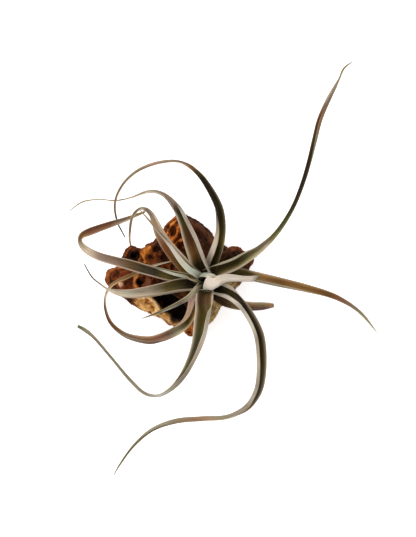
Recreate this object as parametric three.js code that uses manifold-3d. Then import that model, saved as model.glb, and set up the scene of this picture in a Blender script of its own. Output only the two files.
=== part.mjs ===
// Curly-leaved air plant growing on a rough chunk of wood. Millimetres, +Z up.
// The origin is the middle of the flat sawn underside that the wood rests on.
// Sixteen leaves clasp a short stem, the youngest on top, and the stem sits in a hollow of the wood.
import * as THREE from 'three';
import { mergeVertices } from 'three/addons/utils/BufferGeometryUtils.js';
import Module from 'manifold-3d';

const wasm = await Module();
wasm.setup();

// Driving dimensions
const CLEARANCE = 0.3;
const WELD = 0.02;
const WOOD_HEIGHT = 45;
const WOOD_RINGS = 22;
const WOOD_LEAN = 0.0035;
const WOOD_FOOT = 0.125;
const WOOD_CROWN = 0.6;
const WOOD_SIDE_RELIEF = 0.45;
const WOOD_SIDE_PROUD = 0.5;
const PIT_DETAIL = 4;
const STEM_AXIS = [17, -4.5];
const STEM_FOOT = 38;
const STEM_TOP = 59.5;
const STEM_SIDES = 20;
const BLADE_STEP = 4;
const BLADE_SPANS = 4;
const BLADE_MIDRIB = 0.45;
const BLADE_TAPER = 0.085;
const BLADE_MARGIN = 0.25;
const CHANNEL = 50;
const SHEATH_CHANNEL = 38;

// The wood seen from above, anticlockwise from the top
const woodOutline = [
  [-0.5, 44.5], [-4.5, 43], [-5.5, 41], [-7.5, 38], [-10.5, 36], [-13, 32], [-16.5, 28], [-20, 23.5],
  [-25.5, 21.5], [-27, 19.5], [-31.5, 19], [-34, 20.5], [-36.5, 21.5], [-39, 20.5], [-41, 16.5], [-43, 12],
  [-44.5, 6.5], [-47.5, 5.5], [-51.5, 3.5], [-53.5, 0.5], [-54, -3], [-52.5, -6.5], [-48.5, -11],
  [-40.5, -15.5], [-36.5, -19], [-27, -24.5], [-18.5, -29.5], [-13.5, -31], [-8.5, -34.5], [-4, -36],
  [2, -39], [4, -42.5], [6.5, -44], [8.5, -43.5], [13, -40.5], [17.5, -36], [24, -28.5], [27.5, -22.5],
  [32.5, -16], [38, -9.5], [40.5, -7], [42, -5], [45, 0], [47.5, 4], [51, 9.5], [52.5, 12], [48.5, 15],
  [44, 17.5], [41, 20], [38, 20.5], [35.5, 20], [34, 18], [31, 20], [27, 23], [22.5, 27.5], [17, 34.5],
  [13, 37.5], [8.5, 40.5], [4.5, 43],
];

// From the sawn underside to the crown: share of the outline, share of the height
const woodProfile = [
  [0.8, 0], [0.9, 0.05], [0.97, 0.14], [1, 0.25], [0.98, 0.4], [0.93, 0.53], [0.88, 0.66], [0.77, 0.78],
  [0.62, 0.87], [0.42, 0.93], [0.2, 0.97],
];

// Hollows rotted into the wood: centre, then half sizes. The last one is the seat of the plant.
const woodHollows = [
  { at: [-7.5, -20.5, 37], size: [14.5, 8.5, 18], spin: -34 },
  { at: [-32, 14, 36], size: [6, 5, 13], spin: 20 },
  { at: [-27, -4, 40], size: [5, 6, 13], spin: 0 },
  { at: [-20, 12, 44], size: [7, 5, 9], spin: 35 },
  { at: [33, 8, 42], size: [6, 5, 11], spin: -20 },
  { at: [17, -4.5, 50], size: [15, 14, 9], spin: 0 },
];

// Split ridges that wander over the wood: height, and how far apart they run along x, y and z
const woodRidges = [
  { height: 1.7, run: [15, 22, 60] },
  { height: 1.1, run: [-26, 11, Infinity] },
  { height: 0.7, run: [7, -9, 12] },
];

// The stem from its foot to its tip: radius, height
const stemRings = [
  [5, STEM_FOOT], [5.8, STEM_FOOT + 3], [5, STEM_FOOT + 5.5], [4.6, STEM_FOOT + 10], [4.2, STEM_TOP - 2],
  [3.4, STEM_TOP],
];

// A leaf's sheath stands up the stem: reach from the stem's axis, height of its foot, unrolled width.
// Its route then runs out to the tip: x, y, height, width of the unrolled blade, and where they are
// given, the turn about its own line and the half angle of its channel, both in degrees.
const leaves = [
  {
    name: 'leaf_centre_folded',
    colour: '#d7c8bf',
    spans: 8,
    route: [
      [16, -5, 57, 13.5, 0, 140], [16.5, -5.3, 66, 14, 0, 140], [18, -5.4, 74, 15, 0, 125],
      [21.5, -5.2, 79.5, 13, 0, 95], [27, -3.5, 83, 9, 0, 65], [35, -1.5, 85, 5.7], [46, -2, 84, 4.5],
      [53, -1.5, 82, 3.8, 0, 40],
    ],
  },
  {
    name: 'leaf_bud',
    colour: '#b9bfa6',
    route: [[16.5, -5.2, 62, 2.4], [15, -5, 69, 2.2], [11, -3.5, 73.5, 1.8], [5.5, -2, 76, 0.8]],
  },
  {
    name: 'leaf_upper_left_narrow',
    colour: '#afb19f',
    sheath: { reach: 4.2, foot: 61, width: 5 },
    route: [
      [15.5, -1.5, 70, 7], [10.5, 3, 73, 7], [4.5, 9, 77, 6.6], [-2, 16, 82, 5.8], [-12, 27.5, 90, 3.4],
      [-20, 36.5, 95, 1.9], [-27.5, 45, 97, 0.6],
    ],
  },
  {
    name: 'leaf_lower_left_narrow',
    colour: '#a3a393',
    sheath: { reach: 4.4, foot: 61, width: 4 },
    route: [
      [14.5, -6, 68, 4.8], [11, -9, 70.5, 4.8], [6.5, -14, 72, 4.4], [-0.5, -18.5, 72, 3.5], [-9.5, -23, 70, 2.5],
      [-18.5, -26.5, 67, 1.6], [-27.5, -30, 63, 0.5],
    ],
  },
  {
    name: 'leaf_left_narrow',
    colour: '#a3a893',
    sheath: { reach: 4.8, foot: 58, width: 4 },
    route: [
      [13.5, -2.5, 66, 4.8], [7.5, -0.5, 68, 4.8], [3, 0.5, 69, 4.8], [-5, 2, 70.5, 4], [-12, 4, 71, 2.7],
      [-19.5, 6.5, 70.5, 0.6],
    ],
  },
  {
    name: 'leaf_top',
    colour: '#6d5b4a',
    sheath: { reach: 3.8, foot: 54, width: 7 },
    route: [
      [16.5, -0.5, 64, 12], [13.5, 6.5, 69, 12.5], [8, 24, 79, 11], [3, 37, 86, 9], [-1, 44.5, 89, 7.5],
      [-4.5, 49, 91, 6.7, 35], [-12.5, 57, 91, 5.4, 50], [-23.5, 58.5, 87, 3.9, 50], [-34.5, 54.5, 80, 1.9, 45],
      [-45.5, 52.5, 73, 1.3], [-57, 53.5, 67, 1], [-69, 52, 61, 1.4], [-78.5, 45.5, 55, 0.6],
    ],
  },
  {
    name: 'leaf_front',
    colour: '#8a7560',
    sheath: { reach: 3.8, foot: 54, width: 7 },
    route: [
      [17, -7.5, 64, 12.5], [16.5, -17, 71, 13.5], [16, -30, 80, 13.5], [13.5, -42.5, 86, 11.5], [9.5, -56, 90, 8, 20],
      [2.5, -68, 90, 6.5, 35], [-6.5, -78, 87, 5, 45], [-15.5, -83, 84, 3.7, 50], [-24.5, -81.5, 81, 3.5, 25],
      [-35, -72.5, 77, 3.2, 10], [-48, -57.5, 71, 2.8, 20], [-61.5, -42.5, 64, 2.9], [-67, -38, 62, 3.5],
      [-72.5, -35, 59, 2.6],
    ],
  },
  {
    name: 'leaf_lower_right_long',
    colour: '#7d6c5c',
    sheath: { reach: 4.2, foot: 52, width: 7 },
    route: [
      [22, -8, 63, 9.5], [31.5, -11, 68, 10], [38.5, -15.5, 71, 9], [43.5, -20, 74.5, 8, 10], [48.5, -28, 79, 8, 15],
      [54.5, -43, 84, 8, 15], [56, -59.5, 86, 7.7], [54.5, -76, 84, 7.2], [46, -91, 79, 5.9, 25],
      [38.5, -95.5, 76, 4.8, 35], [30.5, -98.5, 73, 4.4, 30], [13.5, -99.5, 65, 4.5, 15], [-3.5, -102, 56, 4.4],
      [-20, -108.5, 46, 3.3], [-33.5, -120, 36, 2.3], [-44, -134.5, 27, 1.5], [-48.5, -142.5, 23, 0.7],
    ],
  },
  {
    name: 'leaf_upper_right_long',
    colour: '#5f5f45',
    sheath: { reach: 4.4, foot: 52, width: 7 },
    route: [
      [23, 1.5, 64, 10], [36, 6.5, 72, 10], [49.5, 14, 83, 9.4], [55, 19, 88, 7.6, 25], [61, 24, 93, 6.9, 40],
      [70, 35.5, 101, 6.3, 52], [77.5, 48.5, 107, 5.9, 54], [83, 62.5, 110, 5.6, 52], [87.5, 77.5, 111, 5.3, 46],
      [91.5, 92, 110, 5.2, 34], [95.5, 107.5, 106, 4.8, 22], [101.5, 121.5, 100, 4.1, 12], [106, 129.5, 96, 3.3, 10],
      [109, 136, 93, 2.2, 45], [112.5, 143, 90, 1.8, 10], [118.5, 148, 88, 0.6],
    ],
  },
  {
    name: 'leaf_top_loop',
    colour: '#6b6149',
    sheath: { reach: 4.8, foot: 49, width: 7 },
    route: [
      [20, 4, 58, 9.6], [22, 9.5, 62, 10.4], [25.5, 18, 68, 10.3], [28, 32.5, 78, 8.7], [27, 44.5, 86, 7.2],
      [22.5, 56, 92, 5.9], [15.5, 66.5, 96, 4.6, 10], [6, 75.5, 98, 3.8, 25], [0, 78.5, 98, 3.1, 40],
      [-6, 79, 97, 3, 30], [-18.5, 77, 94, 3, 5], [-30.5, 72, 90, 2.7], [-40, 63.5, 84, 2.4], [-45.5, 51.5, 78.5, 2.1],
      [-44.5, 38.5, 70, 1.2], [-39, 27, 62, 0.7],
    ],
  },
  {
    name: 'leaf_right',
    colour: '#75602f',
    sheath: { reach: 5, foot: 48, width: 7 },
    route: [
      [27.5, 2, 60, 9], [38, 3, 65, 9], [51, -0.5, 71, 9], [68.5, -4.5, 78, 8.3],
      [86, -8.5, 81, 6.7], [104, -13, 79, 4.9], [112.5, -17, 76, 4.1, 10], [120.5, -22, 71, 3.5, 30],
      [127.5, -28, 66, 2.7, 10], [137, -39, 58, 0.6],
    ],
  },
  {
    name: 'leaf_left',
    colour: '#827a64',
    sheath: { reach: 5, foot: 48, width: 7 },
    route: [
      [6.5, -6, 58, 9.6], [-5, -7.5, 61, 9.8], [-23, -11, 63, 9.2], [-36.5, -12.5, 62, 6.5],
      [-45.5, -11.5, 60, 4.5], [-51, -9.5, 58.5, 2.1], [-56.5, -5.5, 57, 1.1], [-62.5, -1, 56, 1], [-67.5, 8, 54, 0.6],
    ],
  },
  {
    name: 'leaf_left_hairpin',
    colour: '#836c58',
    sheath: { reach: 5.4, foot: 47, width: 7 },
    route: [
      [2.5, -2, 59, 9.2], [-9.5, 1, 62.5, 9.6], [-18, 3.5, 64.5, 9], [-27, 5.5, 66.5, 8.6],
      [-35, 7.5, 68, 8], [-46, 10.5, 70, 7.4], [-57.5, 14, 72, 6.6], [-65, 18, 73, 6], [-69, 21.5, 74.5, 5.5, 30],
      [-70, 25.5, 75.5, 5.9, 48], [-68.5, 28, 76, 6.2, 40], [-64.5, 30, 77, 6.5, 15], [-49.5, 35.5, 79.5, 5.4, 5],
      [-41, 38.5, 80.5, 4.3], [-25, 44, 82, 2],
    ],
  },
  {
    name: 'leaf_upper_left_broad',
    colour: '#8c6b4e',
    sheath: { reach: 5.6, foot: 46, width: 7 },
    route: [
      [4.5, 4, 58, 9.6], [-4.5, 13.5, 66, 9.5], [-10.5, 21.5, 72, 8.7], [-16, 31, 80, 6.2],
      [-19, 38.5, 85.5, 4.1], [-21, 43, 88, 3.1], [-24, 46, 89, 2.7], [-27, 46.5, 89, 2.6], [-31, 44, 87.5, 2.4],
      [-33.5, 40, 85, 2.4], [-35, 31.5, 78, 2.2], [-36, 24.5, 70, 1.6], [-35.5, 21.5, 66, 1],
    ],
  },
  {
    name: 'leaf_lower_right_short',
    colour: '#80644a',
    sheath: { reach: 5.6, foot: 44.5, width: 7 },
    route: [
      [20, -9.5, 52, 7.2], [25, -14.5, 54, 8], [31, -18, 56, 8.4], [40.5, -20.5, 58, 8], [48.5, -21.5, 59, 7.4],
      [57, -21.5, 60, 6.6], [65, -20.5, 60, 3.6],
    ],
  },
  {
    name: 'leaf_lower_left_curl',
    colour: '#8d7363',
    sheath: { reach: 5.6, foot: 44.5, width: 7 },
    route: [
      [13, -7.5, 51, 8], [9, -17, 55, 8.4], [7.5, -25.5, 57, 8.4], [4, -32.5, 57, 8], [-6, -40.5, 56, 8],
      [-22, -45.5, 53, 7.2], [-38, -42.5, 49, 5, 15], [-46.5, -37, 47, 4.3, 25], [-50.5, -31.5, 46, 3.9, 35],
      [-53.5, -21.5, 44, 3.1, 40], [-53, -14, 44, 2.8, 35], [-49, -6.5, 45.5, 2.8, 25], [-35, 0.5, 49, 3.2],
      [-19, 7.5, 51, 2], [-6.5, 10.5, 52, 0.8],
    ],
  },
];

// A closed skin over rings of points; the cap gives the faces that close the ring at each end
function loft(rings, cap) {
  const around = rings[0].length;
  const points = rings.flat();
  const faces = [];
  for (let r = 0; r < rings.length - 1; r += 1) {
    for (let k = 0; k < around; k += 1) {
      const a = r * around + k;
      const b = r * around + ((k + 1) % around);
      faces.push(a, b, b + around, a, b + around, a + around);
    }
  }
  const last = (rings.length - 1) * around;
  for (const [a, b, c] of cap(points, 0, around)) faces.push(a, c, b);
  for (const [a, b, c] of cap(points, last, around)) faces.push(a, b, c);
  const geometry = new THREE.BufferGeometry().setFromPoints(points);
  geometry.setIndex(faces);
  return geometry;
}

// Cap of a round ring: a fan from its middle, which is added to the points
function fanCap(points, start, around) {
  const middle = new THREE.Vector3();
  for (let k = 0; k < around; k += 1) middle.addScaledVector(points[start + k], 1 / around);
  points.push(middle);
  const hub = points.length - 1;
  return Array.from({ length: around }, (_, k) => [hub, start + k, start + ((k + 1) % around)]);
}

// Cap of a blade's ring: rungs from its upper face to its lower face
function bladeCap(points, start, around) {
  const faces = [];
  for (let k = 0; k < around / 2 - 1; k += 1) {
    const across = start + around - 1 - k;
    faces.push([start + k, start + k + 1, across - 1], [start + k, across - 1, across]);
  }
  return faces;
}

// The rows of a leaf's line: up the stem inside the sheath, then out along the route
function leafRows({ sheath, route }) {
  if (!sheath) return route;
  const [x, y, z, width] = route[0];
  const out = new THREE.Vector2(x - STEM_AXIS[0], y - STEM_AXIS[1]).normalize();
  const row = (reach, height, across, half) => (
    [STEM_AXIS[0] + out.x * reach, STEM_AXIS[1] + out.y * reach, height, across, 0, half]
  );
  return [
    row(sheath.reach, sheath.foot, sheath.width, SHEATH_CHANNEL),
    row(sheath.reach + 0.8, (sheath.foot + z) / 2, (sheath.width + width) / 2, SHEATH_CHANNEL),
    ...route,
  ];
}

// Side and upward directions of the blade at a place on its line
function bladeFrame(tangent, turn) {
  const side = new THREE.Vector3().crossVectors(tangent, new THREE.Vector3(0, 0, 1)).normalize();
  const up = new THREE.Vector3().crossVectors(side, tangent);
  side.applyAxisAngle(tangent, -turn);
  up.applyAxisAngle(tangent, -turn);
  return { side, up };
}

// One ring of the blade: a channel that opens upwards, thick at the midrib and thin at the margins
function bladeRing(centre, { side, up }, width, halfAngle, spans, grow) {
  const radius = width / (2 * halfAngle);
  const sag = radius * (1 - Math.cos(Math.min(halfAngle, Math.PI / 2)));
  const midrib = BLADE_MIDRIB + BLADE_TAPER * width;
  const place = (share, offset) => {
    const atMargin = Math.abs(share) === 1;
    const angle = share * (halfAngle + (atMargin ? grow / radius : 0));
    return centre.clone()
      .addScaledVector(side, (radius + offset) * Math.sin(angle))
      .addScaledVector(up, radius - sag - (radius + offset) * Math.cos(angle));
  };
  const shares = Array.from({ length: spans + 1 }, (_, k) => (2 * k) / spans - 1);
  const thickness = (share) => THREE.MathUtils.lerp(midrib, BLADE_MARGIN, Math.abs(share));
  const upper = shares.map((share) => place(share, -grow));
  const lower = shares.map((share) => place(-share, thickness(share) + grow));
  return [...upper, ...lower];
}

function bladeSolid(leaf, grow = 0) {
  const rows = leafRows(leaf);
  const line = new THREE.CatmullRomCurve3(rows.map(([x, y, z]) => new THREE.Vector3(x, y, z)));
  line.arcLengthDivisions = 400;
  const steps = Math.max(8, Math.round(line.getLength() / BLADE_STEP));
  const rings = [];
  for (let i = 0; i <= steps; i += 1) {
    const share = i / steps;
    const place = line.getUtoTmapping(share) * (rows.length - 1);
    const low = Math.min(Math.floor(place), rows.length - 2);
    const blend = (column, usual) => THREE.MathUtils.lerp(
      rows[low][column] ?? usual,
      rows[low + 1][column] ?? usual,
      place - low,
    );
    const tangent = line.getTangentAt(share);
    const frame = bladeFrame(tangent, THREE.MathUtils.degToRad(blend(4, 0)));
    const halfAngle = THREE.MathUtils.degToRad(blend(5, CHANNEL));
    const centre = line.getPointAt(share);
    if (i === 0) centre.addScaledVector(tangent, -grow);
    if (i === steps) centre.addScaledVector(tangent, grow);
    rings.push(bladeRing(centre, frame, blend(3), halfAngle, leaf.spans ?? BLADE_SPANS, grow));
  }
  return toSolid(loft(rings, bladeCap));
}

// Joining and cutting
function toSolid(geometry) {
  const bare = geometry.clone();
  bare.deleteAttribute('normal');
  bare.deleteAttribute('uv');
  const merged = mergeVertices(bare, 1e-4);
  const vertProperties = new Float32Array(merged.attributes.position.array);
  const triVerts = new Uint32Array(merged.index.array);
  return new wasm.Manifold(new wasm.Mesh({ numProp: 3, vertProperties, triVerts }));
}

function toGeometry(solid) {
  const mesh = solid.getMesh();
  const geometry = new THREE.BufferGeometry();
  geometry.setAttribute('position', new THREE.BufferAttribute(mesh.vertProperties, mesh.numProp));
  geometry.setIndex(new THREE.BufferAttribute(mesh.triVerts, 1));
  return geometry;
}

function largestPiece(solid) {
  const pieces = solid.simplify(WELD).decompose();
  return pieces.reduce((best, piece) => (piece.volume() > best.volume() ? piece : best));
}

// Stem: a short woody stub, ringed where older leaves have dropped
function stemSolid(grow = 0) {
  const foot = new THREE.Vector2(0, STEM_FOOT - grow);
  const tip = new THREE.Vector2(0, STEM_TOP + grow);
  const rings = stemRings.map(([radius, z]) => new THREE.Vector2(radius + grow, z));
  rings.at(0).y -= grow;
  rings.at(-1).y += grow;
  const geometry = new THREE.LatheGeometry([foot, ...rings, tip], STEM_SIDES);
  geometry.rotateX(Math.PI / 2);
  geometry.translate(STEM_AXIS[0], STEM_AXIS[1], 0);
  return toSolid(geometry);
}

// Wood: rings of the outline drawn in towards the crown, with split ridges and rotted hollows
function crag(x, y, z) {
  return woodRidges.reduce((sum, { height, run }) => {
    const phase = x / run[0] + y / run[1] + z / run[2];
    return sum + height * (1 - 2 * Math.abs(Math.sin(phase)));
  }, 0);
}

function woodRing(outline, reach, rise) {
  const rough = Math.min(1, rise / WOOD_FOOT);
  return outline.map((point) => {
    const x = point.x * reach;
    const y = point.y * reach;
    const z = rise * WOOD_HEIGHT * (1 + WOOD_LEAN * x);
    const relief = crag(x, y, z) * rough;
    const pull = reach + Math.min(WOOD_SIDE_PROUD, relief * WOOD_SIDE_RELIEF) / point.length();
    const top = rise > WOOD_CROWN ? z + relief : z;
    return new THREE.Vector3(point.x * pull, point.y * pull, top);
  });
}

function woodSolid() {
  const outline = new THREE.CatmullRomCurve3(
    woodOutline.map(([x, y]) => new THREE.Vector3(x, y, 0)),
    true,
  ).getPoints(woodOutline.length * 2).slice(0, -1);
  const profile = new THREE.CatmullRomCurve3(
    woodProfile.map(([reach, rise]) => new THREE.Vector3(reach, rise, 0)),
  ).getPoints(WOOD_RINGS);
  const rings = profile.map(({ x: reach, y: rise }) => woodRing(outline, reach, rise));
  return woodHollows.reduce((solid, hollow) => {
    const pit = new THREE.IcosahedronGeometry(1, PIT_DETAIL);
    pit.scale(...hollow.size);
    pit.rotateZ(THREE.MathUtils.degToRad(hollow.spin));
    pit.translate(...hollow.at);
    return solid.subtract(toSolid(pit));
  }, toSolid(loft(rings, fanCap)));
}

// Assembly: each leaf is cut clear of the stem and of every younger leaf above it
function addPiece(group, name, solid, colour, roughness) {
  const material = new THREE.MeshStandardMaterial({ color: colour, roughness, metalness: 0 });
  const mesh = new THREE.Mesh(toGeometry(solid), material);
  mesh.name = name;
  group.add(mesh);
}

const plant = new THREE.Group();
const stemClear = stemSolid(CLEARANCE);
const wood = largestPiece(woodSolid().subtract(stemClear));
addPiece(plant, 'wood_chunk', wood, '#5a3219', 0.9);
addPiece(plant, 'stem', stemSolid(), '#6b5138', 0.9);

const younger = [];
for (const leaf of leaves) {
  let blade = bladeSolid(leaf).subtract(stemClear);
  for (const clear of younger) blade = blade.subtract(clear);
  addPiece(plant, leaf.name, largestPiece(blade), leaf.colour, 0.75);
  younger.push(bladeSolid(leaf, CLEARANCE));
}

export default plant;
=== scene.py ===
# %% [markdown]
# # A curly air plant on a chunk of wood
# The imported CAD model is the fixed frame of this lesson. It says where each leaf runs and how big the
# wood is. Blender adds what a leaf and a piece of old wood look like: folded blades, scurf, grain, and painted
# shade in its pits and cavities.

# %% Load the frame
import bpy
import numpy as np
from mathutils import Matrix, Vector, noise


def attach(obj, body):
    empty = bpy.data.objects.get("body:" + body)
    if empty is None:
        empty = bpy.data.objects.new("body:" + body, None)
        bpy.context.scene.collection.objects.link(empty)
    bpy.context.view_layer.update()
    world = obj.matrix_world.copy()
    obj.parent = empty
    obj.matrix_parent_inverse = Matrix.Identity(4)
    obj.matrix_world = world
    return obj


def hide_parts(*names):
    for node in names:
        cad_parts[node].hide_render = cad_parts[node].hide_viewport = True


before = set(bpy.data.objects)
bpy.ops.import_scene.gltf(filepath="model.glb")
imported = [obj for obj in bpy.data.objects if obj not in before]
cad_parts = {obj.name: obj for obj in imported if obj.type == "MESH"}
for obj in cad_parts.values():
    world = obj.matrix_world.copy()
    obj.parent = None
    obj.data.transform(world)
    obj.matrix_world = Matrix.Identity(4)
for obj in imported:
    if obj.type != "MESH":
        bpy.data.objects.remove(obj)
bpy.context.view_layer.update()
MM = 0.001

# %% [markdown]
# ## The view
# The plant was seen from straight above, from far away, so its leaves hardly shrink with their depth.
# A long lens two metres up does the same. The colours are kept as they are, with no film curve on them.

# %% Camera
CAMERA_PLACE = (0.0189, 0.00525, 2.0)
LENS, SENSOR = 185.8, 36

scene = bpy.context.scene
scene.view_settings.view_transform = "Standard"
bpy.ops.object.camera_add(location=CAMERA_PLACE, rotation=(0, 0, 0))
camera = bpy.context.object
camera.name = "camera_above"
camera.data.lens, camera.data.sensor_width = LENS, SENSOR
camera.data.clip_end = 20
scene.camera = camera
print("camera at", CAMERA_PLACE)

# %% [markdown]
# ## Floor and light
# White paper on a light table, in a white room, is the plainest setting there is. The room's light comes
# from all round and the paper glows a little, so shadows stay faint. One broad lamp from the upper left
# gives the leaves their modelling.

# %% Floor and room
PAPER_GLOW = 0.45
ROOM_LIGHT = 0.75
WHITE = (1, 1, 1, 1)


def fill(tree, node, values):
    """Fills a node's inputs with numbers or with the outputs of other nodes."""
    for key, value in values.items():
        if isinstance(value, bpy.types.NodeSocket):
            tree.links.new(value, node.inputs[key])
        else:
            node.inputs[key].default_value = value


def node_material(name, values):
    made = bpy.data.materials.new(name)
    made.use_nodes = True
    shader = made.node_tree.nodes["Principled BSDF"]
    fill(made.node_tree, shader, values)
    return made, made.node_tree, shader


bpy.ops.mesh.primitive_plane_add(size=6, location=(0, 0, 0))
floor = bpy.context.object
floor.name = "floor"
paper, _, _ = node_material("white_paper", {
    "Base Color": (0.95, 0.95, 0.95, 1), "Roughness": 0.9, "Specular IOR Level": 0.1,
    "Emission Color": WHITE, "Emission Strength": PAPER_GLOW,
})
floor.data.materials.append(paper)

room = bpy.data.worlds.new("white_room")
room.use_nodes = True
fill(room.node_tree, room.node_tree.nodes["Background"], {"Color": WHITE, "Strength": ROOM_LIGHT})
scene.world = room
print("floor", tuple(floor.dimensions), "room light", ROOM_LIGHT)

# %% Lamps
AIM = Vector((0, 0, 0.05))


def lamp(name, place, size, power):
    bpy.ops.object.light_add(type="AREA", location=place)
    light = bpy.context.object
    light.name = name
    light.data.size = size
    light.data.energy = power
    light.rotation_euler = (AIM - Vector(place)).to_track_quat("-Z", "Y").to_euler()


lamp("broad_lamp_upper_left", (-0.9, 0.6, 1.1), 0.6, 17)
lamp("weak_lamp_right", (1.2, -0.4, 1.0), 1.0, 3)

# %% [markdown]
# ## Node helpers
# Every finish below is built from the same few kinds of node. These helpers add one node and link what
# feeds it, so that a material reads as a list of its layers. An effect that materials share is a group.

# %% Node helpers
def put(tree, kind, values=None, **settings):
    """Adds a node with its settings and fills its inputs."""
    made = tree.nodes.new(kind)
    for key, value in settings.items():
        setattr(made, key, value)
    fill(tree, made, values or {})
    return made


def mix(tree, share, first, second, blend="MIX"):
    values = {0: share, 6: first, 7: second}
    return put(tree, "ShaderNodeMix", values, data_type="RGBA", blend_type=blend).outputs[2]


def filtered(tree, color, *part):
    """A colour times red, green and blue of its own."""
    return mix(tree, 1.0, color, (*part, 1), "MULTIPLY")


def product(tree, first, second, plus=None, clamp=False):
    """Two values multiplied, with a third added where there is one."""
    values = {0: first, 1: second} if plus is None else {0: first, 1: second, 2: plus}
    kind = "MULTIPLY" if plus is None else "MULTIPLY_ADD"
    return put(tree, "ShaderNodeMath", values, operation=kind, use_clamp=clamp).outputs[0]


def ramp(tree, value, low, high):
    """Zero below low, one above high."""
    return put(tree, "ShaderNodeMapRange", {"Value": value, "From Min": low, "From Max": high}).outputs[0]


def noise_at(tree, place, scale, detail, **more):
    values = {"Vector": place, "Scale": scale, "Detail": detail, **more}
    return put(tree, "ShaderNodeTexNoise", values).outputs[0]


def kept(tree, name, output):
    """A colour or a number that is kept on the points of the mesh."""
    return put(tree, "ShaderNodeAttribute", attribute_name=name).outputs[output]


def group_with(name, inputs, outputs):
    group = bpy.data.node_groups.new(name, "ShaderNodeTree")
    for label, kind, value in inputs:
        socket = group.interface.new_socket(label, in_out="INPUT", socket_type="NodeSocket" + kind)
        socket.default_value = value
    for label, kind in outputs:
        group.interface.new_socket(label, in_out="OUTPUT", socket_type="NodeSocket" + kind)
    return group, group.nodes.new("NodeGroupInput").outputs, group.nodes.new("NodeGroupOutput")


# %% [markdown]
# ## The chunk of wood
# The plant sits on a piece of burl: root wood with knobs, broken edges, ridges with pits between
# them, and one deep cavity, painted nearly black as shade. The CAD solid has the right outline, height and hollows,
# so a copy of it is the start. A voxel remesh gives it an even skin that is fine enough for real relief, and Smooth
# takes the flat facets off before the relief is cut.

# %% Wood blank
BLANK_SKIN, WOOD_SKIN = 1.1, 0.72


def only(thing):
    bpy.ops.object.select_all(action="DESELECT")
    thing.select_set(True)
    bpy.context.view_layer.objects.active = thing


def apply(thing, kind, **settings):
    only(thing)
    modifier = thing.modifiers.new(kind.title(), kind)
    for key, value in settings.items():
        setattr(modifier, key, value)
    bpy.ops.object.modifier_apply(modifier=modifier.name)


def remeshed(thing, size):
    only(thing)
    thing.data.remesh_voxel_size = size * MM
    bpy.ops.object.voxel_remesh()


only(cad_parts["wood_chunk"])
bpy.ops.object.duplicate()
wood = bpy.context.object
wood.name = wood.data.name = "wood_burl"
bpy.ops.object.mode_set(mode="EDIT")
bpy.ops.mesh.select_all(action="SELECT")
bpy.ops.mesh.remove_doubles(threshold=0.01 * MM)
bpy.ops.object.mode_set(mode="OBJECT")
remeshed(wood, BLANK_SKIN)
apply(wood, "SMOOTH", factor=0.5, iterations=6)
print("wood blank has", len(wood.data.vertices), "points")

# %% [markdown]
# ## Relief of the wood
# The places below are read from the photograph, in millimetres on the part. Between them the wood is
# broken up by a cell pattern, whose borders stand as thin walls, and by plain noise. A point moves
# straight down for a pit and along its normal for the rest. The underside stays flat, because the part
# stands on it.

# %% Kinds of wood and their patches
def rows_of(text):
    """Rows of numbers, written with commas between the rows."""
    return [[float(word) for word in row.split()] for row in text.split(",")]


WOOD_KINDS = {
    # colour in painted shade, colour in painted highlight, height of the cell walls, height of the fine noise
    "bark": ("140903", "4a2814", 0.75, 0.4),
    "red_bark": ("180803", "5c2b13", 0.8, 0.35),
    "orange": ("341102", "c46f28", 1.5, 0.35),
    "smooth_orange": ("280f04", "743818", 0.6, 0.3),
    "mottled": ("240c03", "8c4a20", 1.3, 0.45),
    "yellow": ("94571f", "f6c67e", 0.7, 0.45),
    "tan": ("574526", "ac9464", 0.3, 0.2),
    # the cavities: both colours nearly black, painted shade
    "hollow_shade": ("040201", "120703", 0.6, 0.3),
}
# x, y and radius of each patch, by kind
WOOD_PATCHES = {
    "bark": """
        11.8 31.1 9.9, 15.4 18.3 9.9, 19.6 25.5 6.4, 4.6 39.1 4.9, 36 8.4 8.5, 28.9 17 5.7, -11 17.5 3.5""",
    "red_bark": """
        40.2 16.9 5.7, 7.5 35.4 3.5, -39.5 -1 5, -38 -9.5 4.6""",
    "orange": """
        -7.5 37 5.7, -9.6 31.3 5.7, -3.8 25.5 6.4, -2.4 32.6 5.7, -25.5 15.6 3.2, -27 9.9 3, 4.7 -40.7 5.7""",
    "smooth_orange": """
        -49.6 -0.1 6.4, -43.1 4.2 5.7""",
    "mottled": """
        -38.3 18.5 4.9, -16.6 15.5 6.4, -6.6 12.7 6.4, -45.2 -6.5 5.7, -22.3 -5 4.9, -36.1 -17.2 4.2,
        -15 4.2 8.5""",
    "yellow": """
        -25.3 -18.6 5.7, -19.6 -22.9 4.9, -28.8 -15.8 4.2, -11.8 -30.8 4.2, -3.9 -36.5 4.2""",
    "tan": """
        25.3 -22.8 6.4, 23.2 -31.4 5.7, 36.7 -5.8 4.2, 16.8 -38.5 5.7""",
    # the cavities that are painted nearly black as shade
    "hollow_shade": """
        -9.6 -17.2 8.5, -2.5 -24.4 7.1, -15.3 -15.1 6.4, -33.3 14.2 4.2, -30 -4.4 2.2, -13 -10 7.5,
        -21.5 -10.5 3.5, -4.5 -27.5 4.2""",
}
print(sum(len(rows_of(text)) for text in WOOD_PATCHES.values()), "patches of", len(WOOD_KINDS), "kinds of wood")

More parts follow.
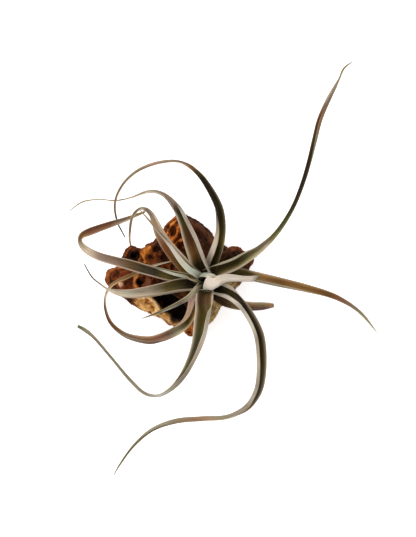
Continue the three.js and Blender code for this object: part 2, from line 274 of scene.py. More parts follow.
# %% Pits, ridges and knots
# x, y, radius and depth
WOOD_PITS = rows_of("""
    -8.2 33.4 1.6 3, -5.3 29.1 1.8 3, -1 21.2 1.6 2.5, -9.6 40.6 1.4 2, -3.2 38.3 1.7 3, 0.4 28.3 1.6 2.5,
    -11.1 27 1.4 2.5, -21.6 13.4 1.8 2.5, -17.3 19.1 1.8 2.2, -13 12.7 1.6 2, -8 18.4 1.6 2,
    -3 13.4 1.6 1.8, -30.1 -2.4 1.2 3, -30.3 -5 1.3 4, -29.3 -7.6 1.2 3, -33.3 14.2 3 6, -38.3 13.5 1.6 2,
    -45.3 0.6 2.1 1.2, -39.5 -5.1 1.7 1.6, -48.9 -5.1 1.6 1.2, -24.6 -17.2 1.2 1.6, -21 -21.5 1 1.4,
    -27.4 -14.3 1 1.4, -36.1 -16.5 1.8 1.6, 5.4 -39.2 1.6 1.6, 16.8 25.5 2.1 1, 23.2 14.8 2.5 2.2,
    31.7 9.9 2.3 2.2, 38.8 9.9 2.1 2""")
# line along the crest, width, height, colour of the crest, partly its own colour and partly painted highlight
WOOD_RIDGES = [
    ("-11.7 28.4, -9.6 32, -7.5 36.2, -3.9 39.1", 0.8, 1.5, "d8863c"),
    ("-6.7 25.5, -3.8 28.3, -3.1 33.3, -0.3 36.9", 0.8, 1.4, "c8702e"),
    ("-5.2 21.2, -2.4 24.8, 1.2 25.5", 0.8, 1.3, "c8702e"),
    ("-25.9 9.9, -27.4 13.4, -25.2 17.7, -22.4 19.8", 1, 1.8, "d08438"),
    ("-40.4 14.2, -39 18.5, -36.1 20.6", 0.8, 1.2, "a85a28"),
    ("-30.5 0.6, -32.6 -1.5, -33.6 -4.4, -33 -7.2, -31.2 -9.2", 0.75, 2.2, "dc8c46"),
    ("-52.4 -7.2, -53.4 -1.5, -51.8 3.5, -47 5.8, -40.5 6.6", 1.3, 1, "b8703a"),
    ("-31.7 -14.3, -25.3 -15.1, -19.6 -17.9, -16.7 -22.9, -18.9 -26.5", 1, 1.5, "f6d09a"),
    ("-18.9 -26.5, -11.8 -31.5, -3.9 -36.5, 1.8 -40.1", 1.1, 1.2, "eec48c"),
    ("1.8 -37.8, 3.2 -42.8, 6.8 -45", 0.8, 1, "a86838"),
    ("35.9 18.4, 40.2 20.5, 44.4 17.7", 1.3, 1.2, "6c3c20"),
    ("6.1 39, 13.2 34.7, 18.9 28.4, 22.5 22", 1.6, 0.8, "54301c"),
]
# x, y, radius and colour; the knots stand up, and the spot is a small pale dot
WOOD_KNOTS = [(-27.9, -1.7, 2.2, "6e4028"), (-23.7, -4.7, 3, "7c4c38")]
WOOD_SPOT = (-43.1, -5.8, 1.8, "d8b496")
KNOT_HEIGHT = 2.0
# x, y and radius of the one place that is pushed sideways, and how far
WOOD_SWELL, SWELL_PUSH = (-9.5, 37.6, 4.5), (-1.3, 0.9)
print(len(WOOD_PITS), "pits,", len(WOOD_RIDGES), "ridges,", len(WOOD_KNOTS), "knots")

# %% Point helpers
def linear(text):
    """Linear red, green and blue of a colour written the usual way."""
    parts = (int(text[k:k + 2], 16) / 255 for k in (0, 2, 4))
    return np.array([part / 12.92 if part <= 0.04045 else ((part + 0.055) / 1.055) ** 2.4 for part in parts])


def points_and_normals(mesh):
    points = np.zeros(len(mesh.vertices) * 3)
    normals = np.zeros(len(mesh.vertices) * 3)
    mesh.vertices.foreach_get("co", points)
    mesh.vertex_normals.foreach_get("vector", normals)
    return points.reshape(-1, 3) / MM, normals.reshape(-1, 3)


def place_points(mesh, points):
    mesh.vertices.foreach_set("co", (points * MM).ravel())
    mesh.update()


def keep_tint(mesh, name, tint):
    mesh.attributes.new(name, "FLOAT_COLOR", "POINT").data.foreach_set("color", tint.ravel())


def falloff(distance, radius, power=2):
    return np.exp(-((distance / radius) ** power))


def around(points, x, y, radius, power=2):
    """One at a place seen from above, falling off past its radius."""
    return falloff(np.hypot(points[:, 0] - x, points[:, 1] - y), radius, power)


def line_distance(points, line):
    best = np.full(len(points), 1e9)
    corners = np.array(rows_of(line))
    for a, b in zip(corners, corners[1:]):
        t = np.clip(((points[:, :2] - a) @ (b - a)) / ((b - a) @ (b - a)), 0, 1)
        best = np.minimum(best, np.linalg.norm(points[:, :2] - a - t[:, None] * (b - a), axis=1))
    return best


def wavy(points, size, seed):
    return np.array([noise.noise((x / size + seed, y / size, z / size)) for x, y, z in points])


print("orange in linear light:", linear("c46f28").round(2))

# %% Cells and patches
WALL_WIDTH = 0.42
TOP_LEVEL, TOP_FADE = 23, 7


def cell_walls(points, size):
    """One on the walls between the cells of a random honeycomb, zero in the middle of a cell."""
    near = [noise.voronoi((x / size, y / size, z / size))[0] for x, y, z in points]
    return np.array([1 - min(1, (second - first) / WALL_WIDTH) for first, second, *_ in near])


def patch_shares(points, facing_up):
    """How much of each kind of wood there is at a point. The patches are seen from above, so on the
    sides and below the top they are broken into blotches, and mottled wood and bark come through."""
    shares = {kind: np.full(len(points), 0.012) for kind in WOOD_KINDS}
    shares["mottled"] += 0.03 + 0.16 * (1 - facing_up)
    shares["bark"] += 0.02 + 0.1 * (1 - facing_up)
    patchy = 9 * wavy(points, 8, 77)
    below = np.clip((TOP_LEVEL + 1.2 * patchy - points[:, 2]) / TOP_FADE, 0, 1)
    for index, kind in enumerate(WOOD_KINDS):
        blotch = (0.5 + 0.5 * np.sin(patchy + index * 1.9)) ** 2
        seen = (1 - below * (1 - 0.5 * blotch)) * (facing_up + (1 - facing_up) * (0.3 + 0.7 * blotch))
        for x, y, radius in rows_of(WOOD_PATCHES[kind]):
            shares[kind] += around(points, x, y, radius * 0.9, 3) * seen
    shares = {kind: share ** 1.7 for kind, share in shares.items()}
    total = sum(shares.values())
    return {kind: share / total for kind, share in shares.items()}


print(len(WOOD_KINDS), "kinds of wood share each point")

# %% Wood relief
WARP = 2.2
CELL, SMALL_CELL = 7.0, 3.0
SIDE_GROWTH = 0.6


def carve_places(thing):
    points, normals = points_and_normals(thing.data)
    upward = np.clip(normals[:, 2] * 2.5, 0, 1)
    for x, y, radius, depth in WOOD_PITS:
        points[:, 2] -= depth * upward * around(points, x, y, radius, 3)
    for line, width, height, _ in WOOD_RIDGES:
        points += normals * (height * upward * falloff(line_distance(points, line), width))[:, None]
    for x, y, radius, _ in WOOD_KNOTS:
        points[:, 2] += KNOT_HEIGHT * upward * around(points, x, y, radius, 4)
    points[:, :2] += around(points, *WOOD_SWELL)[:, None] * SWELL_PUSH
    place_points(thing.data, points)


carve_places(wood)
remeshed(wood, WOOD_SKIN)
points, normals = points_and_normals(wood.data)
warp = np.stack([wavy(points, 7, seed) for seed in (3, 17, 41)], 1) * WARP
walls = cell_walls(points + warp, CELL)
small_walls = cell_walls(points + warp, SMALL_CELL)
fine = wavy(points, 1.9, 5)
broad = wavy(points, 11, 9)
facing_up = np.clip(normals[:, 2] * 2 + 0.1, 0, 1)
shares = patch_shares(points + warp * (0.35 + 2.4 * (1 - facing_up))[:, None], facing_up)
wall_height = sum(shares[kind] * values[2] for kind, values in WOOD_KINDS.items())
fine_height = sum(shares[kind] * values[3] for kind, values in WOOD_KINDS.items())
rise = wall_height * (walls - 0.55) + 0.35 * wall_height * (small_walls - 0.5)
rise += fine_height * fine + 0.9 * broad
rise += SIDE_GROWTH * (1 - np.abs(normals[:, 2]))
off_floor = np.clip((points[:, 2] - 0.6) / 4, 0, 1)
moved = points + normals * (rise * off_floor)[:, None]
moved[:, 2] = np.maximum(moved[:, 2], np.minimum(points[:, 2], 0.0))
place_points(wood.data, moved)
print("wood relief from", round(float(rise.min()), 1), "to", round(float(rise.max()), 1), "mm")

# %% [markdown]
# ## Colours of the wood
# Dark bark, orange heartwood and yellow broken wood lie beside each other. What stands up gets a painted
# highlight, and what lies deep gets painted shade, nearly black, so the relief itself mixes each patch from
# its shade colour and its highlight colour. The result is kept on the points as a colour attribute that the
# material reads.

# %% Wood tint
CREST_LEVEL, CREST_FADE = 14, 9


def lay_over(tint, share, colour):
    tint[:, :3] += 0.9 * share[:, None] * (linear(colour) - tint[:, :3])


# Painted shade: each pit darkens the colour, the more the deeper it is.
depth = np.zeros(len(points))
for x, y, radius, deep in WOOD_PITS:
    depth += min(1, deep / 2) * around(points, x, y, radius * 1.15, 3)
ridges = [falloff(line_distance(points, line), width, 3) for line, width, *_ in WOOD_RIDGES]
# Painted light and shade from the relief: raised cell walls, raised noise and ridges are lighter, pits darker.
relief_light = 0.4 + 0.5 * (walls - 0.45) + 0.2 * (small_walls - 0.5) + 0.25 * fine + 0.7 * broad
relief_light = np.clip(relief_light + 0.7 * np.max(ridges, axis=0) - 0.8 * depth, 0, 1) ** 1.25
tint = np.zeros((len(points), 4))
tint[:, 3] = 1
for kind, (dark, bright, *_) in WOOD_KINDS.items():
    low, high = linear(dark), linear(bright)
    tint[:, :3] += shares[kind][:, None] * (low + relief_light[:, None] * (high - low))
# Crest colours are partly the crests' own colour and partly painted highlight, stronger the higher a crest stands.
high_up = np.clip((points[:, 2] - CREST_LEVEL) / CREST_FADE, 0.05, 1)
for near, (*_, colour) in zip(ridges, WOOD_RIDGES):
    lay_over(tint, near * (0.3 + 0.7 * relief_light) * high_up, colour)
for x, y, radius, colour in (WOOD_SPOT, *WOOD_KNOTS):
    lay_over(tint, around(points, x, y, radius, 6), colour)
keep_tint(wood.data, "wood_tint", tint)
only(wood)
bpy.ops.object.shade_smooth()
print("mean tone of the wood", round(float(relief_light.mean()), 2))

# %% [markdown]
# ## Fibre and pores
# Burl and stem are both old wood: fine fibres in one direction, dark pores and a fleck of light and dark.
# That is one shader node group. Each material gives it its own tint and its own direction for the fibres,
# by a Mapping node that squeezes Object coordinates along them, so the grain stays at its real size.

# %% Fibre group
GRAIN_SCALE, PORE_SCALE, FLECK_SCALE = 900, 620, 420


def fibre_group():
    group, given, result = group_with(
        "fibre_and_pores",
        [("Tint", "Color", (0.2, 0.1, 0.05, 1)), ("Place", "Vector", (0, 0, 0)),
         ("Fibre Place", "Vector", (0, 0, 0)), ("Fibre", "Float", 0.35), ("Pores", "Float", 1.0)],
        [("Color", "Color"), ("Height", "Float")],
    )
    grain = noise_at(group, given["Fibre Place"], GRAIN_SCALE, 4, Distortion=0.8)
    flecks = noise_at(group, given["Place"], FLECK_SCALE, 5, Roughness=0.65)
    cells = put(group, "ShaderNodeTexVoronoi", {"Vector": given["Place"], "Scale": PORE_SCALE})
    pores = cells.outputs["Distance"]
    darker = filtered(group, given["Tint"], 0.6, 0.54, 0.48)
    brighter = filtered(group, given["Tint"], 1.25, 1.2, 1.12)
    color = mix(group, ramp(group, flecks, 0.32, 0.68), darker, brighter)
    color = mix(group, product(group, ramp(group, pores, 0.28, 0.08), given["Pores"]), color, darker)
    color = mix(group, product(group, ramp(group, grain, 0.62, 0.4), given["Fibre"]), color, darker)
    height = product(group, flecks, 0.9, plus=ramp(group, pores, 0.0, 0.3))
    fill(group, result, {"Color": color, "Height": product(group, grain, 0.6, plus=height)})
    return group


fibres = fibre_group()
print("group", fibres.name, "has", len(fibres.nodes), "nodes")

# %% Old wood and the burl's finish
def old_wood(name, attribute, turn, squeeze, fibre, pores):
    made, tree, shader = node_material(name, {"Specular IOR Level": 0.04})
    place = put(tree, "ShaderNodeTexCoord").outputs["Object"]
    along = put(tree, "ShaderNodeMapping", {"Vector": place, "Rotation": turn, "Scale": squeeze}).outputs[0]
    pattern = put(tree, "ShaderNodeGroup", node_tree=fibres)
    fill(tree, pattern, {
        "Tint": kept(tree, attribute, "Color"), "Place": place, "Fibre Place": along,
        "Fibre": fibre, "Pores": pores,
    })
    height = pattern.outputs["Height"]
    bump = put(tree, "ShaderNodeBump", {"Height": height, "Strength": 0.7, "Distance": 0.5 * MM})
    rough = put(tree, "ShaderNodeMapRange", {"Value": height, "To Min": 0.62, "To Max": 0.85})
    fill(tree, shader, {
        "Base Color": pattern.outputs["Color"], "Normal": bump.outputs[0], "Roughness": rough.outputs[0],
    })
    return made


wood.data.materials.clear()
wood.data.materials.append(old_wood("burl_wood", "wood_tint", (0.5, 0.3, 0.6), (1, 1, 0.22), 0.35, 1.0))
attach(wood, "root")
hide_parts("wood_chunk")
print(wood.name, "has", len(wood.data.polygons), "faces")

# %% [markdown]
# ## The stem
# Between the wood and the crown stands a short stem, ringed by the feet of leaves that have dropped. It
# starts as a disc at the foot of the CAD stem. Each ring is three extrusions of the top face, each with a
# scale of its own: out to the rim, up over it and back in. So the rings lie on each other like cups.
# Bevel and Subdivision Surface round them, and a little noise makes every rim uneven. A new primitive is
# selected all over, so everything is deselected before its top face is chosen.

# %% Stem rings
STEM_AXIS = (17.0, -4.5)
STEM_FOOT, STEM_TOP = 38.0, 59.5
FOOT_RADIUS, FOOT_HEIGHT, TOP_RADIUS = 5.0, 1.0, 3.1
RIM_LEVELS = (41, 43.6, 46, 48.4, 50.8, 53.2, 55.5, 57.5)
RIM_RADII = (5.6, 4.95, 4.7, 4.55, 4.4, 4.3, 4.2, 4.1)
RIM_STEP = 0.6

bpy.ops.object.select_all(action="DESELECT")
bpy.ops.mesh.primitive_cylinder_add(
    vertices=30, radius=FOOT_RADIUS * MM, depth=FOOT_HEIGHT * MM,
    location=[part * MM for part in (*STEM_AXIS, STEM_FOOT + FOOT_HEIGHT / 2)],
)
stem = bpy.context.object
stem.name = stem.data.name = "stem_rings"
bpy.ops.object.transform_apply(location=True, rotation=True, scale=True)
bpy.ops.object.mode_set(mode="EDIT")
bpy.ops.mesh.select_mode(type="FACE")
bpy.ops.mesh.select_all(action="DESELECT")
bpy.ops.object.mode_set(mode="OBJECT")
for face in stem.data.polygons:
    face.select = face.normal.z > 0.9
bpy.ops.object.mode_set(mode="EDIT")
level, reach = STEM_FOOT + FOOT_HEIGHT, FOOT_RADIUS
rings = [step for z, r in zip(RIM_LEVELS, RIM_RADII)
         for step in ((z - 0.5, r - 0.05), (z, r - 0.12), (z + 0.12, r - RIM_STEP))]
for z, r in [*rings, (STEM_TOP - 0.2, TOP_RADIUS)]:
    bpy.ops.mesh.extrude_region_move(TRANSFORM_OT_translate={"value": (0, 0, (z - level) * MM)})
    bpy.ops.transform.resize(value=(r / reach, r / reach, 1))
    level, reach = z, r
for thickness in (1.2, 1.0):
    bpy.ops.mesh.inset(thickness=thickness * MM)
bpy.ops.object.mode_set(mode="OBJECT")
print(stem.name, "has", len(rings) // 3, "rings")

# %% Worn stem
apply(stem, "BEVEL", width=0.15 * MM, segments=2, limit_method="ANGLE", angle_limit=0.6)
apply(stem, "SUBSURF", levels=1, render_levels=1)
stem_points, stem_normals = points_and_normals(stem.data)
uneven = 0.3 * wavy(stem_points, 1.9, 23) + 0.14 * wavy(stem_points, 0.7, 31)
stem_points -= stem_normals * (0.2 + uneven)[:, None]
stem_points[:, 2] += 1.3 * wavy(stem_points * (1, 1, 0.3), 4.0, 47)
place_points(stem.data, stem_points)
bpy.ops.object.shade_smooth()
print(stem.name, "has", len(stem.data.polygons), "faces and is", round(stem.dimensions.z / MM, 1), "mm high")

# %% [markdown]
# ## Colour of the stem
# The rim of each old leaf foot is worn pale, the notch above it is painted nearly black as shade, and the
# whole stem turns lighter and more yellow towards the crown, where it is younger. These are read from the
# stem's own radius and height and kept as a colour attribute. The fibres run upwards, so Z is the squeezed axis.

# %% Stem tint
# nearly black painted shade in the notches, at the foot and at the crown
NOTCH_SHADE_COLOURS = ("2a1a0f", "3a2c1c")
RIM_COLOURS = ("6b5138", "8a7656")

reach_at = np.hypot(stem_points[:, 0] - STEM_AXIS[0], stem_points[:, 1] - STEM_AXIS[1])
rim_at = np.interp(stem_points[:, 2], RIM_LEVELS, RIM_RADII)
worn_rim_over_notch_shade = np.clip((reach_at - rim_at + RIM_STEP) / RIM_STEP, 0, 1)[:, None]
young = np.clip((stem_points[:, 2] - STEM_FOOT) / (STEM_TOP - STEM_FOOT), 0, 1)[:, None]
notch_shade, rim = (linear(old) * (1 - young) + linear(new) * young for old, new in (NOTCH_SHADE_COLOURS, RIM_COLOURS))
stem_tint = np.ones((len(stem_points), 4))
# from painted shade in each notch to the worn pale rim
stem_tint[:, :3] = notch_shade + worn_rim_over_notch_shade ** 1.5 * (rim - notch_shade)
keep_tint(stem.data, "stem_tint", stem_tint)
stem.data.materials.append(old_wood("stem_bark", "stem_tint", (0, 0, 0), (1, 1, 0.12), 0.8, 0.4))
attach(stem, "root")
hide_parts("stem")
print("stem tint from", notch_shade.min().round(3), "to", rim.max().round(3))

# %% [markdown]
# ## How a blade is folded
# Each leaf is a channel. Where both of its flanks lie open, the dark inner face shows. Where a flank has
# tipped over, its pale scurfy back covers part of the channel and its margin draws a sharp line. So one
# pair of angles says what is seen: how steeply the left flank and the right flank rise from the keel.
# Over 90 degrees a flank leans inwards and shows its back. The section is worked out as a curve whose
# direction turns from flat at the keel to that angle. It is then scaled until the blade, with the
# thickness of its flesh, is as wide as it is seen.

# %% Section of a blade
ACROSS = 16
FINER = 6
FLESH = 1.0
THIN_MARGIN = 0.28
FULL_WIDTH = 9


def flank(angle, curved, steps):
    share = np.linspace(0, 1, steps + 1)
    bend = np.clip(share / curved, 0, 1)
    bend = bend * bend * (3 - 2 * bend) * (0.86 + 0.14 * share)
    turn = np.radians(angle) * bend
    return [np.concatenate([[0], np.cumsum(part[1:] + part[:-1])]) / (2 * steps)
            for part in (np.cos(turn), np.sin(turn))]


def flesh_at(across, unrolled):
    """Share of the full thickness: the blade is thick at its middle, thin at its margins and its tip."""
    thick = THIN_MARGIN + (1 - THIN_MARGIN) * (1 - np.abs(across)) ** 0.8
    return np.clip(thick * np.clip(unrolled / FULL_WIDTH, 0.35, 1.1), 0, 1)


def blade_section(width, left, right, curved=0.4, left_part=0.5):
    """Side and height of the points from the left margin to the right, and the width when unrolled."""
    steps = ACROSS * FINER
    left_steps = round(steps * left_part)
    left_out, left_rise = flank(left, curved, left_steps)
    right_out, right_rise = flank(right, curved, steps - left_steps)
    left_long, right_long = 2 * left_steps / steps, 2 - 2 * left_steps / steps
    side = np.concatenate([-left_out[::-1] * left_long, right_out[1:] * right_long])[::FINER]
    rise = np.concatenate([left_rise[::-1] * left_long, right_rise[1:] * right_long])[::FINER]
    slope = np.stack([np.gradient(side), np.gradient(rise)])
    slope /= np.linalg.norm(slope, axis=0)
    across = np.linspace(-1, 1, ACROSS + 1)
    scale = width / (side.max() - side.min())
    for _ in range(5):
        back = side * scale + slope[1] * FLESH * flesh_at(across, 2 * scale)
        low = min(back.min(), side.min() * scale)
        high = max(back.max(), side.max() * scale)
        scale *= width / (high - low)
    return side * scale - (low + high) / 2, (rise - (rise.max() + rise.min()) / 2) * scale, 2 * scale


for pair in ((50, 50), (115, 30)):
    print("folds", pair, "unrolled width", round(blade_section(8, *pair)[2], 1), "mm for a seen width of 8")

# %% [markdown]
# ## Where each leaf runs
# Every row is a place on the leaf: x, y and height in millimetres, the width that is seen from above,
# the fold of the left and the right flank in degrees, and how much of each flank is curved: a small
# share gives a sharp V, and one a round gutter. What a row leaves out comes from the plain fold. Rows go
# from base to tip, and leaves from the youngest, in the middle of the rosette, to the oldest.

# %% Leaf routes
PLAIN_FOLD = (60, 60, 0.3)
ROUTES = {
    "leaf_centre_folded": """
        15.7 -3.9 62 10.5 110 98 1, 16.3 -3.7 70 12.1 140 98 1, 18.8 -3.7 75 12.1 152 100 1,
        20.6 -4 78 11.2 128 150 0.8, 21.9 -4.4 80.4 9.4 70 178 0.6, 24.3 -4 82.4 7.9 44 188 0.6,
        28.7 -2.1 84.4 6.3 30 188 0.5, 33.6 -1.2 85 5.3 30 188 0.5, 38.4 -1.4 85.2 4.6 30 188 0.5,
        43.3 -1.8 85 4 30 186 0.5, 48.3 -1.9 84 4.1 30 184 0.5, 52.8 -1.6 82.5 4 30 184 0.5""",
    "leaf_bud": """
        14.7 -4.8 68 2.1 60 114, 10.9 -3.4 73 1.9 60 118, 5.2 -1.8 76 0.6""",
    "leaf_upper_left_narrow": """
        13.7 0 66 4.7 166 25 0.1, 10.3 2.3 72 5.3 167 24 0.1, 6.4 5.1 75.2 5.8 150 28 0.1,
        2.4 9.6 77.8 6.1 137 32 0.1, -2.3 15.6 82 5.1 132 32 0.1, -6.8 21.3 86 3.6 133 30 0.1,
        -11.8 27 90 2.6 133 32, -19.9 36.4 95 1.6 118 40, -28.1 45.8 97 0.5""",
    "leaf_lower_left_narrow": """
        14.4 -5.9 68 4.2 134 30, 10.9 -9 70.5 4.2 140 30, 6.4 -14.2 72 3.9 140 30, -0.7 -18.5 72 3.1 133 32,
        -9.7 -23 70 2.2 126 35, -18.6 -26.6 67 1.4 105 45, -27.6 -29.8 63 0.4""",
    "leaf_left_narrow": """
        13.7 -2.2 66 3.9, 7.4 -0.5 68 3.9 75 55, 3.6 0.2 69 3.8 136 40, -4.1 1.8 70.5 3.2 131 35 0.1,
        -11 3.8 71.5 2.3 131 35 0.1, -20.1 6.9 71.5 0.6""",
    "leaf_top": """
        16.8 -0.7 64 11.2 48 101, 12.9 6.6 69 11.8 52 104 0.4, 10 15.3 74 11 50 106,
        6.9 24.3 79 10.3 48 109, 2.2 37 86 7.2 46 113, -1 44.2 89 6.4 52 112, -4.4 49.1 91 5 105 99 0.6,
        -8.3 53.6 91.5 3.9 110 70 0.5, -12.6 56.7 91 3 110 60, -18 58.4 89.3 2.6 106 60,
        -23.6 58.1 87 2.2 90 60, -34.4 54.4 80 1.2 60 80, -45.4 52.5 73 1 60 80, -57.1 53.4 67 0.8 60 70,
        -68.9 51.8 61 1.1, -78.7 45.5 55 0.6""",
    "leaf_front": """
        16.8 -7.3 64 11.2 50 50, 16.3 -16.7 71 12.3 54 52, 15.4 -24.9 76.5 11 100 50,
        14.3 -31.8 81 10.4 109 46, 13.1 -40 85.3 9.4 112 42, 10.8 -48.9 88.5 7.7 120 38,
        7.6 -57.1 90 6.3 123 36, 3.5 -65.4 90.3 5.2 135 34, -1.1 -72.2 89 4.3 147 34 0.1,
        -6.6 -77.8 87 3.2 167 35 0.1, -15.3 -82.6 84 2.3 167 35 0.1, -24.4 -81.4 81 2.4 159 35 0.1,
        -34.9 -72.4 77 2.5 141 35 0.1, -48 -57.3 71 2.2 125 40, -61.4 -42.3 64 2.4 90 45,
        -66.8 -38 62 2.9 70 50, -72.5 -34.9 59 2.1 60 55""",
    "leaf_lower_right_long": """
        19.2 -7.3 62 8.4 60 90 0.4, 26.6 -8.9 65.3 9.5 121 121 0.9, 33 -11.3 68.7 9.5 142 149 1,
        38.1 -15.5 71.3 7.4 92 138 0.8, 43.9 -21.5 75.3 6.5 55 119, 48.4 -28.2 79 6.7 42 120,
        52.1 -35.2 82 6.9 38 115, 54.7 -43.1 84 7.1 36 116, 56 -59.7 86 6.9 36 116,
        54.5 -76.1 84 6.2 36 123, 51.1 -84.3 81.5 5.5 36 132, 46.1 -90.8 79 4.6 34 144 0.1,
        38.7 -95.4 76 3.5 34 172 0.1, 30.4 -98.3 73 3.2 35 177 0.1, 13.7 -99.7 65 3.5 35 167 0.1,
        -3.5 -101.8 56 3.6 35 152 0.1, -20 -108.2 46 2.8 38 130 0.1, -33.5 -120 36 2.1 45 119,
        -44.1 -134.7 27 1.3 55 80, -48.5 -142.4 23 0.6""",
    "leaf_upper_right_long": """
        17.8 0.4 60 9.1 60 48, 28.7 4.9 67 9.3 98 42, 38.1 8.7 74 8.8 102 38, 46 13.3 80.6 7.7 97 35,
        53.1 17.6 86.2 5.9 84 35, 57.8 21.5 90.3 5 70 38, 62.9 26.2 94.5 4 60 42, 70.2 35.5 101 3.3 55 48,
        77.7 48.7 107 3 50 55, 83.2 62.7 110 3.1 48 65, 87.7 77.5 111 3.3 42 92, 91.4 92.2 110 3.7 36 123,
        95.4 107.3 106 3.8 34 138, 101.7 121.6 100 3.4 34 132, 105.8 129.3 96 2.7 35 121,
        109.2 135.8 93 1.4 55 70, 112.6 143.1 90 1.5, 118.7 148.1 88 0.6""",
    "leaf_top_loop": """
        20 3.8 58 8.4 116 48, 21.8 9.8 62.3 9.1 124 45, 24.6 17.6 68 8.5 126 42, 26.8 25.1 73.5 7.6 124 40,
        27.8 32.3 78 6.9 115 42, 27.6 40.2 83 6.5 101 45, 26.5 47 87.2 5.8 85 48, 24.1 52.7 90 5.4 80 50,
        21.1 58.2 92.8 5 75 52, 15.5 66.7 96 4.1 70 60, 11 71.6 97.3 3.3 60 80, 6.2 75.5 98 2.9 55 98,
        0 78.3 98 2.1 50 127, -6.2 79.1 97 2.2 50 125 0.1, -18.6 77.2 94 2.5 50 125 0.1,
        -30.4 72.1 90 2.3 50 132, -40 63.3 84 2 50 117, -45.4 51.7 78.5 1.7 50 90, -44.4 38.3 70 1.3,
        -39 26.9 62 0.8""",
    "leaf_left_hairpin": """
        14.3 -3.9 51 7 70 70, 2.3 -1.4 55 7.4 92 88 1, -9.9 0.7 60.5 7.6 92 86 1,
        -17.8 2.7 64.5 7.3 90 82 1, -26.8 5.2 66.5 7.3 86 82 0.9, -35.1 7.6 68 7.2 80 82 0.8,
        -45.9 10.5 70 6.4 72 82 0.7, -57.4 13.9 72 5.8 66 84 0.7, -64.9 17.8 73.2 5.1 60 86 0.7,
        -68.8 21.4 74.5 4 55 86 0.7, -70 25.2 75.5 3.3 55 75, -68.6 28.1 76 4.3 70 70,
        -64 30.4 77 5.4 82 66 0.7, -49.4 35.6 79.3 4.6 84 64 0.7, -41 38.3 80.5 3.6 75 64,
        -32.3 41.5 81.5 2.5 65 62, -24.7 44.5 82 1.5""",
    "leaf_left": """
        14.3 -5.3 57 7.7 70 70, 6.3 -5.9 60 8.8 105 86 0.7, -0.7 -6.4 62 9.4 113 88 0.8,
        -10.1 -8.4 63 8.8 116 88 0.8, -23 -10.9 63 7.7 109 86 0.7, -35.6 -12.4 62.2 6.1 100 84 0.6,
        -45.5 -11.3 60 3.9 84 80 0.8, -50.8 -9.5 58.5 1.8 75 70, -56.7 -5.6 57 1.2, -62.4 -0.8 56 1.1,
        -68 8.4 54 0.8""",
    "leaf_right": """
        19.3 -2.5 56 7.7 50 55, 27.6 1.5 60 7.7 50 60, 38.8 2.4 65 7.4 48 75, 48.2 0.4 69.8 7.1 45 94,
        55.8 -1.3 73.2 7 44 102, 68.5 -4.2 78 6.7 44 105, 86.1 -8.2 81 5.7 45 100, 103.8 -13.1 79 4.2 50 85,
        112.3 -16.9 76 3.4 52 60, 120.5 -21.8 71 2.6 55 55, 127.7 -28 66 2.2 58 58, 137 -39.2 58 0.6""",
    "leaf_upper_left_broad": """
        14.3 -3.2 53 8.4 60 45, 5.2 3.5 58 8.8 62 45, -3.1 12.6 65 8.9 64 42, -9.6 21.4 71.5 8.6 68 40,
        -14.7 29.9 78.8 7.2 74 38, -17.6 37.1 84 5.3 78 40, -20.4 42.9 87.6 3.7 75 45,
        -23.7 45.9 89 2.9 70 55, -27.2 46.6 89 2.3 62 80, -30.8 44.5 87.5 2.1 60 93,
        -33.7 39.8 85 2.1 80 60, -35.2 31.6 78 1.7 70 60, -35.6 26.5 72 1.5, -35.1 21.3 66 1.1""",
    "leaf_lower_left_curl": """
        12.9 -7.4 51 7 40 132, 9.1 -17.2 55 7.4 36 133 0.1, 7.3 -25.6 57 7.3 38 133,
        3.7 -32.6 57 7 60 112 0.4, -1.8 -37.4 56.6 6.7 74 94 0.5, -9.2 -41.3 55.6 6.6 91 62 0.4,
        -15.9 -43.8 54.3 6.2 109 50, -22.5 -45.1 53 5.9 121 44, -37.8 -42.2 49 4.1 122 40,
        -46.3 -36.7 47 3.2 109 45, -50.7 -31.3 46 2.7 94 55, -53.7 -21.6 44 2 80 60, -53.2 -13.8 44 2 70 60,
        -49.2 -6.7 45.5 2.3, -35 0.6 49 2.8, -18.9 7.4 51 1.7, -6.3 10.5 52 0.7""",
    "leaf_lower_right_short": """
        20 -9.5 52 6.3 50 50, 24.9 -14.3 54 7 50 55, 31.2 -17.9 56 7.3 48 60, 40.3 -20.3 58 6.9 46 75,
        48.7 -21.3 59 6.2 46 114, 57 -21.1 60 5.5 46 120, 62.3 -20.7 60 3.9 50 108, 65 -20.6 60 2.7 55 80""",
}
print(len(ROUTES), "leaves,", sum(len(rows_of(text)) for text in ROUTES.values()), "places")

# %% [markdown]
# ## From rows to a smooth line
# A leaf bends evenly between its rows. A centripetal curve through them does so without loops at the
# tight turns, and the width and the folds ride along on it. The foot of each leaf rises out of the stem
# and clasps it, so two rows are put below the first one, drawn back against the way the leaf sets out.

# %% Feet of the leaves
FOOT_LEVEL = 57.0
FOOT_DRAW = 1.8
FOOT_DROP = 5.0
FOOT_STEEPEST = 80
FOOT_ROWS = ((1.0, 0.7), (0.5, 0.9))  # share of the way down, share of the width


def with_foot(name):
    rows = [(*row, *PLAIN_FOLD[len(row) - 4:]) for row in rows_of(ROUTES[name])]
    x, y, z, width, left, right, _ = rows[0]
    ahead = Vector((rows[1][0] - x, rows[1][1] - y)).normalized() * FOOT_DRAW
    drop = max(FOOT_DROP, z - FOOT_LEVEL)
    foot = [
        (x - ahead.x * part, y - ahead.y * part, z - drop * part, width * narrow,
         min(left, FOOT_STEEPEST), min(right, FOOT_STEEPEST), 0.6)
        for part, narrow in FOOT_ROWS
    ]
    return foot + rows


print("the bud's foot starts", round(with_foot("leaf_bud")[0][2], 1), "mm up")

